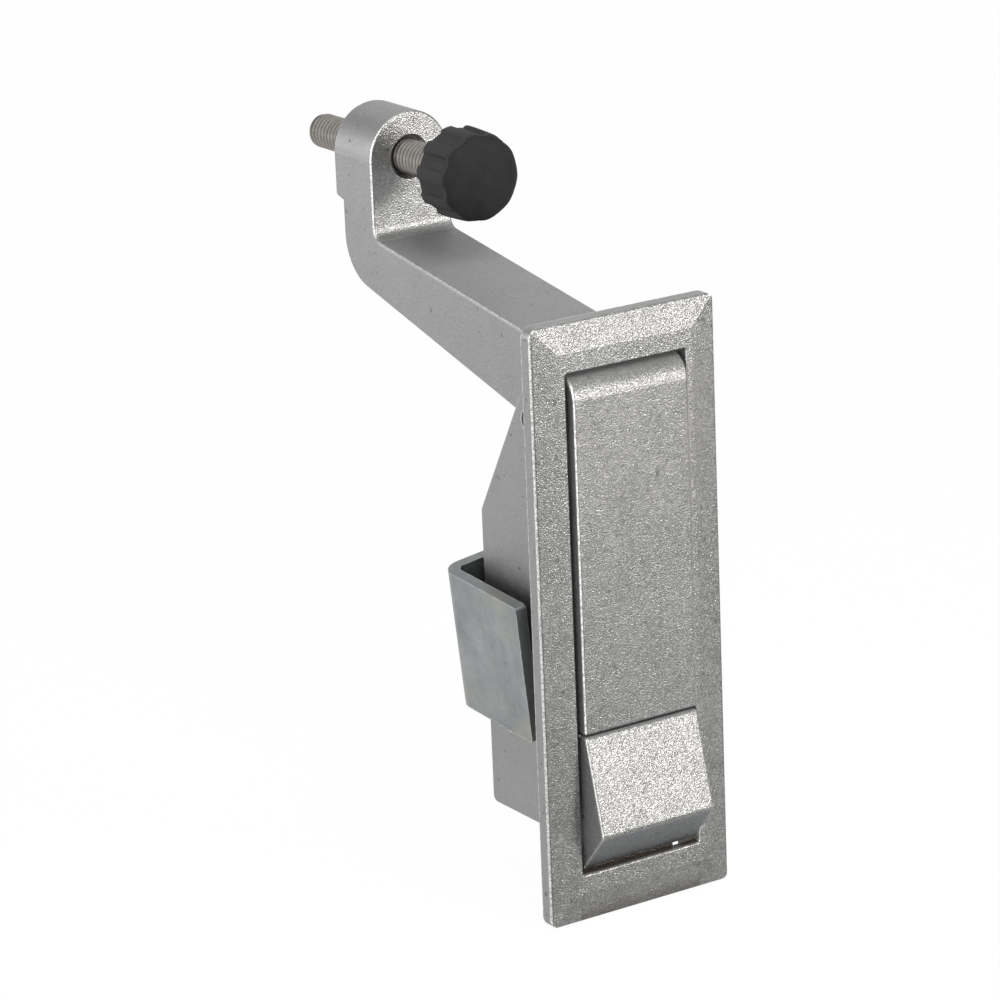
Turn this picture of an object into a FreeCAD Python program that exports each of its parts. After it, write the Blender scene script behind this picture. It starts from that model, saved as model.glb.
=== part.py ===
import FreeCAD, Part
import math
import os

from FreeCAD import Vector

# Lever latch for a cabinet door, with a push trigger and an adjustable bumper.
#
# Millimetres. The origin is the centre of the face plate's back, where the plate seats on
# the panel. X is the width, +Y goes into the cabinet, +Z is up, and the front is towards -Y.
# Side profiles are drawn in the YZ plane as (y, z) corners, with a radius where a corner is
# rounded, and extruded along X.

# Face plate
plate_height = 100.0
plate_width = 35.3
plate_edge = 2.3
plate_face = 3.0
plate_corner = 1.8
plate_edge_round = 0.6
bevel_width = 4.9

# Opening in the face plate
opening_width = 23.1
opening_height = 83.8
opening_corner = 0.5
opening_edge_round = 0.3
skin = 1.8

# Box behind the plate
side_wall = 2.05
back_wall = 2.0
floor_wall = 2.0
top_wall = 2.0
box_depth = 20.1
box_bottom = -35.4
back_wall_top = 15.1
slant_angle = 59.9
box_corner = 1.3
box_edge_round = 0.8
collar_top = 45.9
collar_bottom = -45.2
collar_depth = 3.2
floor_front = 6.0

# Pins, pressed into the side walls a little short of their outer faces
lever_pin_diameter = 4.0
trigger_pin_diameter = 3.0
pin_recess = 0.5
pin_chamfer = 0.3
running_clearance = 0.05

# Lever: handle in the opening and arm behind it, cast as one piece
pivot_y = 4.8
pivot_z = 33.0
hub_radius = 5.0
spacer_wall = 1.8
spacer_gap = 0.2
side_gap = 0.6
sweep_clearance = 0.3
handle_face = 4.2
handle_top_gap = 0.4
handle_top_radius = 4.2
handle_bottom = -17.8
handle_bottom_radius = 0.5
handle_wall = 2.0
handle_flange = 1.8
flange_back = 2.4
flange_step = 1.6
flange_step_low = 23.0
flange_step_high = 27.0
flange_round = 1.2
flange_top_round = 0.6
handle_edge_round = 0.45

# Arm of the lever
arm_width = 15.5
arm_under_angle = 14.75
arm_top_angle = 8.75
arm_top_offset = 10.15
arm_edge_round = 0.5
heel_radius = 8.5
crease_radius = 2.0

# Upright end of the arm, with the boss for the stud
end_front = 58.4
end_back = 67.85
boss_back = 70.0
boss_drop = 0.15
boss_foot_height = 0.6
boss_foot_round = 0.8
stud_z = 64.45

# Adjusting stud
stud_diameter = 6.0
stud_back = 86.45
stud_chamfer = 0.7
countersink = 0.8

# Bumper knob
knob_front = 34.9
knob_length = 9.8
knob_front_radius = 7.2
knob_back_radius = 7.7
knob_dome_height = 1.5
knob_dome_edge = 0.9
knob_flutes = 10
knob_flute_radius = 2.4
knob_flute_depth = 0.45
knob_flute_angle = 119.5
knob_socket_depth = 6.5

# Trigger
trigger_pin_inset = 6.3
trigger_pivot_z = -19.8
trigger_gap = 0.35
trigger_lip_out = 4.2
trigger_tip_out = 8.3
trigger_tip_z = -34.2
trigger_heel_y = -2.4
trigger_heel_z = -40.85
trigger_wall = 2.0
trigger_cheek = 2.0
trigger_cheek_low = -30.5
trigger_boss_wall = 1.7
trigger_tip_round = 1.1
trigger_lip_round = 0.7
trigger_edge_round = 0.45
tail_right = 7.5
tail_gap = 0.15
tail_thickness = 1.8
tail_drop = 2.1

# Torsion springs
trigger_spring_wire = 0.8
trigger_spring_turns = 4
trigger_spring_pitch = 0.9
lever_spring_wire = 0.8
lever_spring_turns = 1
lever_spring_pitch = 0.9
lever_spring_reach = 24.0
spring_bore_clearance = 0.3
spring_side_gap = 0.15
spring_seat_gap = 0.15
wall_leg_tilt = 15.0
pad_leg_droop = 20.0

# Clamp bracket, folded from sheet and hung loose on its screw
bracket_sheet = 2.0
bracket_inner_width = 31.3
bracket_flange = 21.8
bracket_height = 24.25
bracket_bend = 1.5
bracket_corner = 0.8
bracket_droop = 3.65
bracket_lean = -7.75
bracket_seat_y = 24.05
bracket_hole = 6.2

# Clamp screw and washers
screw_z = -4.6
screw_diameter = 5.0
screw_length = 16.0
screw_head_diameter = 9.5
screw_head_height = 3.2
screw_head_round = 1.4
screw_recess_width = 1.1
screw_recess_span = 5.0
screw_recess_depth = 1.8
screw_chamfer = 0.5
screw_boss_diameter = 9.5
screw_boss_length = 6.0
washer_diameter = 10.0
washer_bore = 5.4
washer_thickness = 1.0
washer_seat_gap = 0.1
lock_washer_diameter = 9.2
lock_washer_bore = 5.3
lock_washer_thickness = 1.2
lock_washer_split = 0.8
lock_washer_angle = 25.0

# Worked out from the values above
half_opening = opening_width / 2
opening_top = opening_height / 2
box_width = opening_width + 2 * side_wall
box_inner_back = box_depth - back_wall
trigger_pivot_y = box_depth - trigger_pin_inset
skin_back = skin - plate_face
handle_width = opening_width - 2 * side_gap
tail_left = handle_width / 2
handle_top = opening_top - handle_top_gap
hub_bottom = pivot_z - hub_radius
trigger_top = handle_bottom - trigger_gap
trigger_slope = math.atan2(trigger_tip_out - trigger_lip_out, trigger_top - trigger_tip_z)
trigger_lip_back = trigger_wall / math.cos(trigger_slope) - trigger_lip_out
trigger_boss_radius = trigger_pin_diameter / 2 + trigger_boss_wall
pin_length = box_width - 2 * pin_recess
bracket_slope = math.tan(math.radians(bracket_droop))
washer_lift = washer_diameter / 2 * bracket_slope + washer_seat_gap
washer_seat = bracket_seat_y + bracket_sheet / 2 + washer_lift
lock_washer_seat = washer_seat + washer_thickness
screw_seat = lock_washer_seat + lock_washer_thickness
knob_back = knob_front + knob_length
past = 1.0


def direction(angle):
    """Unit (y, z) direction at an angle above +Y, in degrees."""
    turn = math.radians(angle)
    return (math.cos(turn), math.sin(turn))


def crossing(p, angle_p, q, angle_q):
    """Where two lines in the YZ plane meet, each given by a point and an angle."""
    a = direction(angle_p)
    b = direction(angle_q)
    dy = q[0] - p[0]
    dz = q[1] - p[1]
    step = (dz * b[0] - dy * b[1]) / (a[1] * b[0] - a[0] * b[1])
    return (p[0] + step * a[0], p[1] + step * a[1])


def rounded_wire(corners, place):
    """Closed wire through (u, v) or (u, v, radius) corners, put in space by place(u, v)."""
    corners = [tuple(corner) + (0.0,) * (3 - len(corner)) for corner in corners]
    spans = []
    for i, (u, v, radius) in enumerate(corners):
        before = corners[i - 1]
        after = corners[(i + 1) % len(corners)]
        here = Vector(u, v, 0)
        inward = (here - Vector(before[0], before[1], 0)).normalize()
        outward = (Vector(after[0], after[1], 0) - here).normalize()
        if radius <= 0:
            spans.append((here, None, here))
            continue
        turn = inward.getAngle(outward)
        reach = radius * math.tan(turn / 2)
        bisector = (outward - inward).normalize()
        middle = here + bisector * (radius / math.cos(turn / 2) - radius)
        spans.append((here - inward * reach, middle, here + outward * reach))
    edges = []
    for i, (start, middle, end) in enumerate(spans):
        first = place(start.x, start.y)
        last = place(end.x, end.y)
        if middle is not None:
            edges.append(Part.Arc(first, place(middle.x, middle.y), last).toShape())
        following = spans[(i + 1) % len(spans)][0]
        target = place(following.x, following.y)
        if last.distanceToPoint(target) > 1e-6:
            edges.append(Part.LineSegment(last, target).toShape())
    return Part.Wire(edges)


def side_prism(corners, width, x_centre=0.0):
    """Solid of a (y, z) profile, extruded along X about x_centre."""
    left = x_centre - width / 2
    wire = rounded_wire(corners, lambda y, z: Vector(left, y, z))
    return Part.Face(wire).extrude(Vector(width, 0, 0))


def plan_prism(corners, height):
    """Solid of an (x, y) profile, extruded along Z about z = 0."""
    wire = rounded_wire(corners, lambda x, y: Vector(x, y, -height / 2))
    return Part.Face(wire).extrude(Vector(0, 0, height))


def front_prism(width, height, y0, y1, corner):
    """Block centred on the Y axis, with its four edges along Y rounded."""
    w = width / 2
    h = height / 2
    corners = [(-w, -h, corner), (w, -h, corner), (w, h, corner), (-w, h, corner)]
    wire = rounded_wire(corners, lambda x, z: Vector(x, y0, z))
    return Part.Face(wire).extrude(Vector(0, y1 - y0, 0))


def block(half_width, y0, y1, z0, z1):
    """Block centred on x = 0."""
    return Part.makeBox(2 * half_width, y1 - y0, z1 - z0, Vector(-half_width, y0, z0))


def rod_x(diameter, length, y, z, x_centre=0.0):
    """Cylinder along X about x_centre."""
    start = Vector(x_centre - length / 2, y, z)
    return Part.makeCylinder(diameter / 2, length, start, Vector(1, 0, 0))


def rod_y(diameter, y0, y1, z, x=0.0):
    """Cylinder along Y from y0 to y1."""
    return Part.makeCylinder(diameter / 2, y1 - y0, Vector(x, y0, z), Vector(0, 1, 0))


def edges_where(shape, test):
    """Edges of a shape that pass a test of the edge and its centre of mass."""
    return [edge for edge in shape.Edges if test(edge, edge.CenterOfMass)]


def at_x(edge, value):
    """True where the whole edge lies at x = value or x = -value."""
    box = edge.BoundBox
    return box.XLength < 1e-4 and abs(abs(box.XMin) - value) < 1e-3


def at_y(edge, value):
    """True where the whole edge lies at y = value."""
    box = edge.BoundBox
    return box.YLength < 1e-4 and abs(box.YMin - value) < 1e-3


def make_plate():
    """Face plate with four mitred bevels, seated on y = 0."""
    bodies = []
    for size, prism in ((plate_height, side_prism), (plate_width, plan_prism)):
        half = size / 2
        flat = half - bevel_width
        corners = [
            (0, -half),
            (0, half),
            (-plate_edge, half, plate_edge_round),
            (-plate_face, flat),
            (-plate_face, -flat),
            (-plate_edge, -half, plate_edge_round),
        ]
        if prism is plan_prism:
            corners = [(corner[1], corner[0]) + corner[2:] for corner in corners]
        bodies.append(prism(corners, 2 * plate_height))
    outline = front_prism(plate_width, plate_height, -plate_face - past, 0, plate_corner)
    return bodies[0].common(bodies[1]).common(outline)


def make_box():
    """Solid of the box and collar behind the plate, with the slanted top at its back."""
    slant_rise = math.tan(math.radians(slant_angle))
    slant_front = box_depth - (collar_top - back_wall_top) / slant_rise
    front = -plate_edge / 2
    profile = [
        (front, collar_bottom),
        (collar_depth, collar_bottom),
        (collar_depth, box_bottom),
        (box_depth, box_bottom, box_corner),
        (box_depth, back_wall_top, box_corner),
        (slant_front, collar_top),
        (front, collar_top),
    ]
    box = side_prism(profile, box_width)
    rounded = edges_where(
        box, lambda edge, centre: at_x(edge, box_width / 2) and centre.y > collar_depth + past
    )
    return box.makeFillet(box_edge_round, rounded)


def sweep_radius():
    """Distance from the pivot to the farthest point of the handle's rounded top."""
    round_y = handle_top_radius - handle_face
    round_z = handle_top - handle_top_radius
    return math.hypot(round_y - pivot_y, round_z - pivot_z) + handle_top_radius


def make_housing():
    """Face plate and box as one casting, open behind the arm and below the trigger."""
    housing = make_plate().fuse(make_box())
    floor_top = box_bottom + floor_wall
    spaces = [
        block(half_opening, skin_back, box_inner_back, floor_top, collar_top - top_wall),
        block(half_opening, skin_back, floor_front, collar_bottom, floor_top + past),
        block(half_opening, box_inner_back - past, box_depth + past, back_wall_top, collar_top),
        front_prism(
            opening_width, opening_height, -plate_face - past, skin_back + past, opening_corner
        ),
    ]
    reach = sweep_radius() + sweep_clearance
    sweep = rod_x(2 * reach, opening_width, pivot_y, pivot_z)
    spaces.append(sweep.common(block(half_opening, skin_back - skin, box_depth, 0, collar_top)))
    for space in spaces:
        housing = housing.cut(space)
    boss_front = box_inner_back - screw_boss_length
    housing = housing.fuse(rod_y(screw_boss_diameter, boss_front, box_inner_back + past, screw_z))
    thread = rod_y(screw_diameter + 2 * running_clearance, 0, box_depth + past, screw_z)
    housing = housing.cut(thread)
    for diameter, y, z in (
        (lever_pin_diameter, pivot_y, pivot_z),
        (trigger_pin_diameter, trigger_pivot_y, trigger_pivot_z),
    ):
        housing = housing.cut(rod_x(diameter, box_width + past, y, z))
    housing = housing.removeSplitter()
    rim = edges_where(
        housing,
        lambda edge, centre: at_y(edge, -plate_face)
        and abs(centre.x) < half_opening + 0.01
        and abs(centre.z) < opening_top + 0.01,
    )
    return housing.makeFillet(opening_edge_round, rim)


def make_handle():
    """Hollow handle with a rounded top and side flanges."""
    front = -handle_face
    flange_front = flange_back - flange_step
    profile = [
        (front, handle_bottom, handle_bottom_radius),
        (flange_back, handle_bottom, flange_round),
        (flange_back, flange_step_low, flange_round),
        (flange_front, flange_step_high, flange_round),
        (flange_front, handle_top, flange_top_round),
        (front, handle_top, handle_top_radius),
    ]
    handle = side_prism(profile, handle_width)
    outline = edges_where(
        handle, lambda edge, centre: at_x(edge, handle_width / 2) and centre.y < front + 0.1
    )
    handle = handle.makeFillet(handle_edge_round, outline)
    hollow_back = front + handle_wall
    hollow_top = handle_top - handle_wall
    hollow = side_prism(
        [
            (hollow_back, handle_bottom + handle_wall),
            (flange_back + past, handle_bottom + handle_wall),
            (flange_back + past, hollow_top),
            (hollow_back, hollow_top, handle_top_radius - handle_wall),
        ],
        handle_width - 2 * handle_flange,
    )
    return handle.cut(hollow)


def make_arm():
    """Tapered arm from the hub to its upright, round-topped end."""
    under = direction(arm_under_angle)
    under_point = (pivot_y + hub_radius * under[1], pivot_z - hub_radius * under[0])
    top = direction(arm_top_angle)
    top_point = (pivot_y - arm_top_offset * top[1], pivot_z + arm_top_offset * top[0])
    hub_corner = crossing(under_point, arm_under_angle, (pivot_y, hub_bottom), 0)
    heel = crossing(under_point, arm_under_angle, (end_back, 0), 90)
    crease = crossing(top_point, arm_top_angle, (end_front, 0), 90)
    inside = handle_wall / 2 - handle_face
    crown = stud_z + arm_width / 2
    boss_foot = stud_z - arm_width / 2 - boss_drop
    profile = [
        (inside, hub_bottom),
        hub_corner + (hub_radius,),
        heel + (heel_radius,),
        (end_back, boss_foot),
        (boss_back, boss_foot + boss_foot_height, boss_foot_round),
        (boss_back, crown),
        (end_front, crown),
        crease + (crease_radius,),
        top_point,
        (handle_top_radius - handle_face + past, handle_top),
        (inside, handle_top - handle_top_radius),
    ]
    arm = side_prism(profile, arm_width)
    keep = block(arm_width, -box_depth, 2 * boss_back, -plate_height, stud_z)
    keep = keep.fuse(rod_y(arm_width, -box_depth, 2 * boss_back, stud_z))
    arm = arm.common(keep).removeSplitter()

    def on_outline(edge, centre):
        along = at_x(edge, arm_width / 2) and centre.y > box_depth
        crown_edge = centre.z > stud_z and (at_y(edge, end_front) or at_y(edge, boss_back))
        return along or crown_edge

    return arm.makeFillet(arm_edge_round, edges_where(arm, on_outline))


def make_lever():
    """Handle, hub and arm as one casting, bored for the pivot pin and the stud."""
    bore = lever_pin_diameter + 2 * running_clearance
    stud_bore = stud_diameter + 2 * running_clearance
    hub = rod_x(2 * hub_radius, arm_width, pivot_y, pivot_z)
    spacer_end = half_opening - spacer_gap
    spacer_length = spacer_end - arm_width / 2 + past
    spacer = rod_x(
        bore + 2 * spacer_wall,
        spacer_length,
        pivot_y,
        pivot_z,
        spacer_length / 2 - spacer_end,
    )
    lever = make_handle().fuse(make_arm()).fuse(hub).fuse(spacer)
    lever = lever.cut(rod_x(bore, box_width, pivot_y, pivot_z))
    lever = lever.cut(rod_y(stud_bore, end_front - past, boss_back + past, stud_z))
    for y, inward in ((end_front, 1), (boss_back, -1)):
        cone = Part.makeCone(
            stud_bore / 2 + countersink,
            stud_bore / 2,
            countersink,
            Vector(0, y, stud_z),
            Vector(0, inward, 0),
        )
        lever = lever.cut(cone)
    return lever.removeSplitter()


def make_pin(diameter, y, z):
    """Plain dowel with chamfered ends."""
    pin = rod_x(diameter, pin_length, y, z)
    ends = edges_where(pin, lambda edge, centre: at_x(edge, pin_length / 2))
    return pin.makeChamfer(pin_chamfer, ends)


def make_trigger():
    """Push trigger: hollow wedge pad, two cheeks back to the pin, and a stop tail."""
    lip = -trigger_lip_out
    tip = -trigger_tip_out
    under = math.atan2(trigger_tip_z - trigger_heel_z, trigger_heel_y - tip)
    heel_top = trigger_heel_z + trigger_wall / math.cos(under)
    pad_back = trigger_heel_y + past
    pad = side_prism(
        [
            (lip, trigger_top, trigger_lip_round),
            (tip, trigger_tip_z, trigger_tip_round),
            (trigger_heel_y, trigger_heel_z),
            (pad_back, heel_top),
            (pad_back, trigger_top),
        ],
        handle_width,
    )
    outline = edges_where(
        pad, lambda edge, centre: at_x(edge, handle_width / 2) and centre.y < trigger_heel_y - past
    )
    pad = pad.makeFillet(trigger_edge_round, outline)
    face = (trigger_lip_back, trigger_top)
    face_angle = 90 - math.degrees(trigger_slope)
    inner_top = crossing(face, face_angle, (0, trigger_top + past), 0)
    inner_tip = crossing(face, face_angle, (trigger_heel_y, heel_top), -math.degrees(under))
    hollow = side_prism(
        [
            inner_top,
            inner_tip + (trigger_tip_round,),
            (trigger_heel_y, heel_top),
            (pad_back + past, heel_top),
            (pad_back + past, trigger_top + past),
        ],
        handle_width - 2 * trigger_cheek,
    )
    pad = pad.cut(hollow)
    cheek = [
        (trigger_heel_y, trigger_top),
        (trigger_pivot_y, trigger_top),
        (trigger_pivot_y, trigger_pivot_z - trigger_boss_radius),
        (0, trigger_cheek_low),
        (trigger_heel_y, trigger_heel_z + trigger_wall),
    ]
    cheek_centre = (handle_width - trigger_cheek) / 2
    for x in (-cheek_centre, cheek_centre):
        boss = rod_x(2 * trigger_boss_radius, trigger_cheek, trigger_pivot_y, trigger_pivot_z, x)
        pad = pad.fuse(side_prism(cheek, trigger_cheek, x)).fuse(boss)
    tail_front = skin_back + tail_gap
    tail_back = tail_front + tail_thickness
    tail = side_prism(
        [
            (tail_front, trigger_heel_z - tail_drop, tail_thickness / 4),
            (tail_back, trigger_heel_z - tail_drop, tail_thickness / 4),
            (tail_back, heel_top),
            (trigger_heel_y, heel_top),
            (trigger_heel_y, trigger_heel_z),
            (tail_front, trigger_heel_z),
        ],
        tail_left + tail_right,
        (tail_right - tail_left) / 2,
    )
    bore = trigger_pin_diameter + 2 * running_clearance
    trigger = pad.fuse(tail)
    return trigger.cut(rod_x(bore, box_width, trigger_pivot_y, trigger_pivot_z)).removeSplitter()


def make_torsion_spring(wire, bore, turns, pitch, first_leg, last_leg, start):
    """Coil about an X axis with a straight leg at each end.

    Each leg is (angle, length), its angle above +Y in the YZ plane. start is the axis's
    point where the coil begins.
    """
    radius = (bore + wire) / 2
    begin = first_leg[0] + 90
    sweep = (last_leg[0] - 90 - begin) % 360 + 360 * turns
    height = pitch * sweep / 360
    turn = math.radians(sweep)
    section = Part.Circle(Vector(radius, 0, 0), Vector(0, 1, 0), wire / 2).toShape()
    path = Part.Wire(Part.makeHelix(pitch, height, radius).Edges)
    spring = path.makePipeShell([Part.Wire([section])], True, True)
    ends = (
        (Vector(radius, 0, 0), Vector(0, -1, 0), first_leg[1]),
        (
            Vector(radius * math.cos(turn), radius * math.sin(turn), height),
            Vector(-math.sin(turn), math.cos(turn), 0),
            last_leg[1],
        ),
    )
    for point, along, length in ends:
        spring = spring.fuse(Part.makeSphere(wire / 2, point))
        spring = spring.fuse(Part.makeCylinder(wire / 2, length, point, along))
    spring.rotate(Vector(0, 0, 0), Vector(0, 0, 1), begin)
    spring.rotate(Vector(0, 0, 0), Vector(1, 1, 1), 120)
    spring.translate(start)
    return spring


def make_trigger_spring():
    """Return spring on the trigger pin, between the back wall and the push pad."""
    wire = trigger_spring_wire
    bore = trigger_pin_diameter + 2 * spring_bore_clearance
    radius = (bore + wire) / 2
    wall_angle = wall_leg_tilt - 90
    wall_way = direction(wall_angle)
    wall_y = box_inner_back - wire / 2 - spring_seat_gap
    wall_leg = (wall_y - trigger_pivot_y + radius * wall_way[1]) / wall_way[0]
    pad_angle = 180 + pad_leg_droop
    pad_way = direction(pad_angle)
    leaves = (trigger_pivot_y + radius * pad_way[1], trigger_pivot_z - radius * pad_way[0])
    face_angle = 90 - math.degrees(trigger_slope)
    seat = crossing(leaves, pad_angle, (trigger_lip_back, trigger_top), face_angle)
    pad_leg = math.hypot(seat[0] - leaves[0], seat[1] - leaves[1]) - wire / 2 - spring_seat_gap
    length = trigger_spring_pitch * trigger_spring_turns
    return make_torsion_spring(
        wire,
        bore,
        trigger_spring_turns,
        trigger_spring_pitch,
        (wall_angle, wall_leg),
        (pad_angle, pad_leg),
        Vector(-length / 2, trigger_pivot_y, trigger_pivot_z),
    )


def make_lever_spring():
    """Opening spring on the lever pin, between the back wall and the handle's flange."""
    wire = lever_spring_wire
    bore = lever_pin_diameter + 2 * spring_bore_clearance
    radius = (bore + wire) / 2
    run = box_inner_back - wire / 2 - spring_seat_gap - pivot_y
    wall_leg = math.sqrt(lever_spring_reach ** 2 - radius ** 2)
    toward_wall = -math.degrees(math.acos(run / lever_spring_reach))
    wall_angle = toward_wall - math.degrees(math.asin(radius / lever_spring_reach))
    seat_y = flange_back + wire / 2 + spring_seat_gap
    fall = pivot_z - flange_step_low
    distance = math.hypot(seat_y - pivot_y, fall)
    toward_handle = math.degrees(math.atan2(-fall, seat_y - pivot_y))
    handle_angle = toward_handle + math.degrees(math.asin(radius / distance))
    handle_leg = math.sqrt(distance ** 2 - radius ** 2) + 2 * wire
    return make_torsion_spring(
        wire,
        bore,
        lever_spring_turns,
        lever_spring_pitch,
        (wall_angle, wall_leg),
        (handle_angle, handle_leg),
        Vector(arm_width / 2 + spring_side_gap + wire / 2, pivot_y, pivot_z),
    )


def make_stud():
    """Adjusting stud at its full thread diameter, chamfered at the back."""
    front = knob_back - knob_socket_depth
    stud = rod_y(stud_diameter, front, stud_back, stud_z)
    back_end = edges_where(stud, lambda edge, centre: at_y(edge, stud_back))
    return stud.makeChamfer(stud_chamfer, back_end)


def make_knob():
    """Fluted bumper knob with a smooth domed front and a blind socket for the stud."""
    rim = knob_front + knob_dome_height
    middle = Vector(0, knob_front, 0)
    edge = Vector(knob_front_radius, rim, 0)
    back_edge = Vector(knob_back_radius, knob_back, 0)
    back_middle = Vector(0, knob_back, 0)
    dome = Part.BSplineCurve()
    points = [
        middle,
        Vector(knob_front_radius / 2, knob_front + knob_dome_height / 8, 0),
        Vector(knob_front_radius - knob_dome_edge, knob_front + knob_dome_height / 2, 0),
        edge,
    ]
    dome.interpolate(points, InitialTangent=Vector(1, 0, 0), FinalTangent=Vector(0.1, 1, 0))
    loop = [dome.toShape()]
    for start, end in ((edge, back_edge), (back_edge, back_middle), (back_middle, middle)):
        loop.append(Part.LineSegment(start, end).toShape())
    knob = Part.Face(Part.Wire(loop)).revolve(Vector(0, 0, 0), Vector(0, 1, 0), 360)
    knob.translate(Vector(0, 0, stud_z))
    lean = math.degrees(math.atan2(knob_back_radius - knob_front_radius, knob_back - rim))
    reach = knob_front_radius + knob_flute_radius - knob_flute_depth
    for i in range(knob_flutes):
        flute = rod_y(2 * knob_flute_radius, knob_front - past, knob_back + past, stud_z, reach)
        flute.rotate(Vector(reach, rim, stud_z), Vector(0, 0, 1), -lean)
        turn = knob_flute_angle + 360.0 * i / knob_flutes
        flute.rotate(Vector(0, 0, stud_z), Vector(0, 1, 0), -turn)
        knob = knob.cut(flute)
    socket = rod_y(
        stud_diameter + 2 * running_clearance,
        knob_back - knob_socket_depth - running_clearance,
        knob_back + past,
        stud_z,
    )
    return knob.cut(socket)


def make_bracket():
    """U-shaped clamp bracket, turned and tipped a little where it hangs on its screw."""
    inner = bracket_inner_width / 2
    half = inner + bracket_sheet
    back = bracket_sheet / 2
    front = back - bracket_flange
    profile = [
        (-half, front),
        (-inner, front),
        (-inner, back - bracket_sheet, bracket_bend),
        (inner, back - bracket_sheet, bracket_bend),
        (inner, front),
        (half, front),
        (half, back, bracket_bend + bracket_sheet),
        (-half, back, bracket_bend + bracket_sheet),
    ]
    bracket = plan_prism(profile, bracket_height)
    tips = edges_where(
        bracket,
        lambda edge, centre: at_y(edge, front) and edge.BoundBox.ZLength < bracket_sheet / 2,
    )
    bracket = bracket.makeFillet(bracket_corner, tips)
    bracket = bracket.cut(rod_y(bracket_hole, front, back + past, 0))
    bracket.rotate(Vector(0, 0, 0), Vector(1, 0, 0), bracket_droop)
    bracket.rotate(Vector(0, 0, 0), Vector(0, 1, 0), bracket_lean)
    bracket.translate(Vector(0, bracket_seat_y, screw_z))
    return bracket


def make_washer():
    """Flat washer behind the bracket's web."""
    ring = rod_y(washer_diameter, washer_seat, lock_washer_seat, screw_z)
    return ring.cut(rod_y(washer_bore, washer_seat - past, lock_washer_seat + past, screw_z))


def make_lock_washer():
    """Split lock washer under the screw's head."""
    ring = rod_y(lock_washer_diameter, lock_washer_seat, screw_seat, screw_z)
    ring = ring.cut(rod_y(lock_washer_bore, lock_washer_seat - past, screw_seat + past, screw_z))
    split = block(
        lock_washer_split / 2,
        lock_washer_seat - past,
        screw_seat + past,
        screw_z,
        screw_z + lock_washer_diameter,
    )
    split.rotate(Vector(0, 0, screw_z), Vector(0, 1, 0), lock_washer_angle)
    return ring.cut(split)


def make_screw():
    """Pan head screw with a cross recess, threaded into the housing's boss."""
    tip = screw_seat - screw_length
    head_end = screw_seat + screw_head_height
    shank = rod_y(screw_diameter, tip, screw_seat + past, screw_z)
    tip_edge = edges_where(shank, lambda edge, centre: at_y(edge, tip))
    shank = shank.makeChamfer(screw_chamfer, tip_edge)
    head = rod_y(screw_head_diameter, screw_seat, head_end, screw_z)
    head = head.makeFillet(
        screw_head_round, edges_where(head, lambda edge, centre: at_y(edge, head_end))
    )
    bottom = head_end - screw_recess_depth
    slot = screw_recess_width / 2
    span = screw_recess_span / 2
    cross = block(slot, bottom, head_end + past, screw_z - span, screw_z + span)
    cross = cross.fuse(block(span, bottom, head_end + past, screw_z - slot, screw_z + slot))
    return shank.fuse(head).cut(cross).removeSplitter()


def main():
    """Make every piece and write it to its own file."""
    pieces = {
        "housing": make_housing(),
        "lever": make_lever(),
        "lever_pivot_pin": make_pin(lever_pin_diameter, pivot_y, pivot_z),
        "lever_spring": make_lever_spring(),
        "trigger": make_trigger(),
        "trigger_pin": make_pin(trigger_pin_diameter, trigger_pivot_y, trigger_pivot_z),
        "trigger_spring": make_trigger_spring(),
        "adjusting_stud": make_stud(),
        "bumper_knob": make_knob(),
        "clamp_bracket": make_bracket(),
        "clamp_screw": make_screw(),
        "clamp_washer": make_washer(),
        "clamp_lock_washer": make_lock_washer(),
    }
    os.makedirs("parts", exist_ok=True)
    for name, shape in pieces.items():
        box = shape.BoundBox
        corners = [box.XMin, box.XMax, box.YMin, box.YMax, box.ZMin, box.ZMax]
        sizes = " ".join(str(round(value, 2)) for value in corners)
        print(name, len(shape.Solids), shape.isValid(), round(shape.Volume, 1), sizes)
        shape.exportStep("parts/" + name + ".step")


main()
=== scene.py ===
"""Looks of the cabinet lever latch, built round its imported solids.

Lengths are metres in the solids' own frame: X runs across the face plate, +Y into the
cabinet and +Z up. The plate's front looks along -Y.
"""

import logging
import math
from dataclasses import dataclass
from enum import Enum
from typing import Any

import bmesh
import bpy
from mathutils import Matrix, Quaternion, Vector

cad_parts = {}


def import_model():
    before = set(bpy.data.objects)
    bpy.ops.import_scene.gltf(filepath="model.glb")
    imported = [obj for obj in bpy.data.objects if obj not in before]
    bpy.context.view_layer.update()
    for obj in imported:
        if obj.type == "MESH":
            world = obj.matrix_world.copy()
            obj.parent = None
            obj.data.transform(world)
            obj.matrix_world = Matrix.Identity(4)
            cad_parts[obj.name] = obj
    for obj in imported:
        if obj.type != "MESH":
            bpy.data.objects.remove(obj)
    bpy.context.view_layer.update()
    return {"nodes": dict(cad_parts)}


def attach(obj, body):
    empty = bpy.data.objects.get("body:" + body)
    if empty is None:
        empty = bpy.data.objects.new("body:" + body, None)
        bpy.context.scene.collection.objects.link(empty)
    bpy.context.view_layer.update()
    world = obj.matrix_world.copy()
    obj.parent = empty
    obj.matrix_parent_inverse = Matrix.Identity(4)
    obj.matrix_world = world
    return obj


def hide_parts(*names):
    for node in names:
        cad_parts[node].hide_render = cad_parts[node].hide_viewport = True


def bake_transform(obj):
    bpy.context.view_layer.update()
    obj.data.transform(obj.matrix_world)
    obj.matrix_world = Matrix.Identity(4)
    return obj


MM = 0.001
Colour = tuple[float, float, float, float]
Point = tuple[float, float, float]
log = logging.getLogger("latch")


class Slot(Enum):
    """Material slot names for the new pieces; nothing in the script uses them."""

    SPRING_STEEL = "spring_steel"
    STUD_STEEL = "stud_steel"
    KNOB_BLACK = "knob_black"


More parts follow.
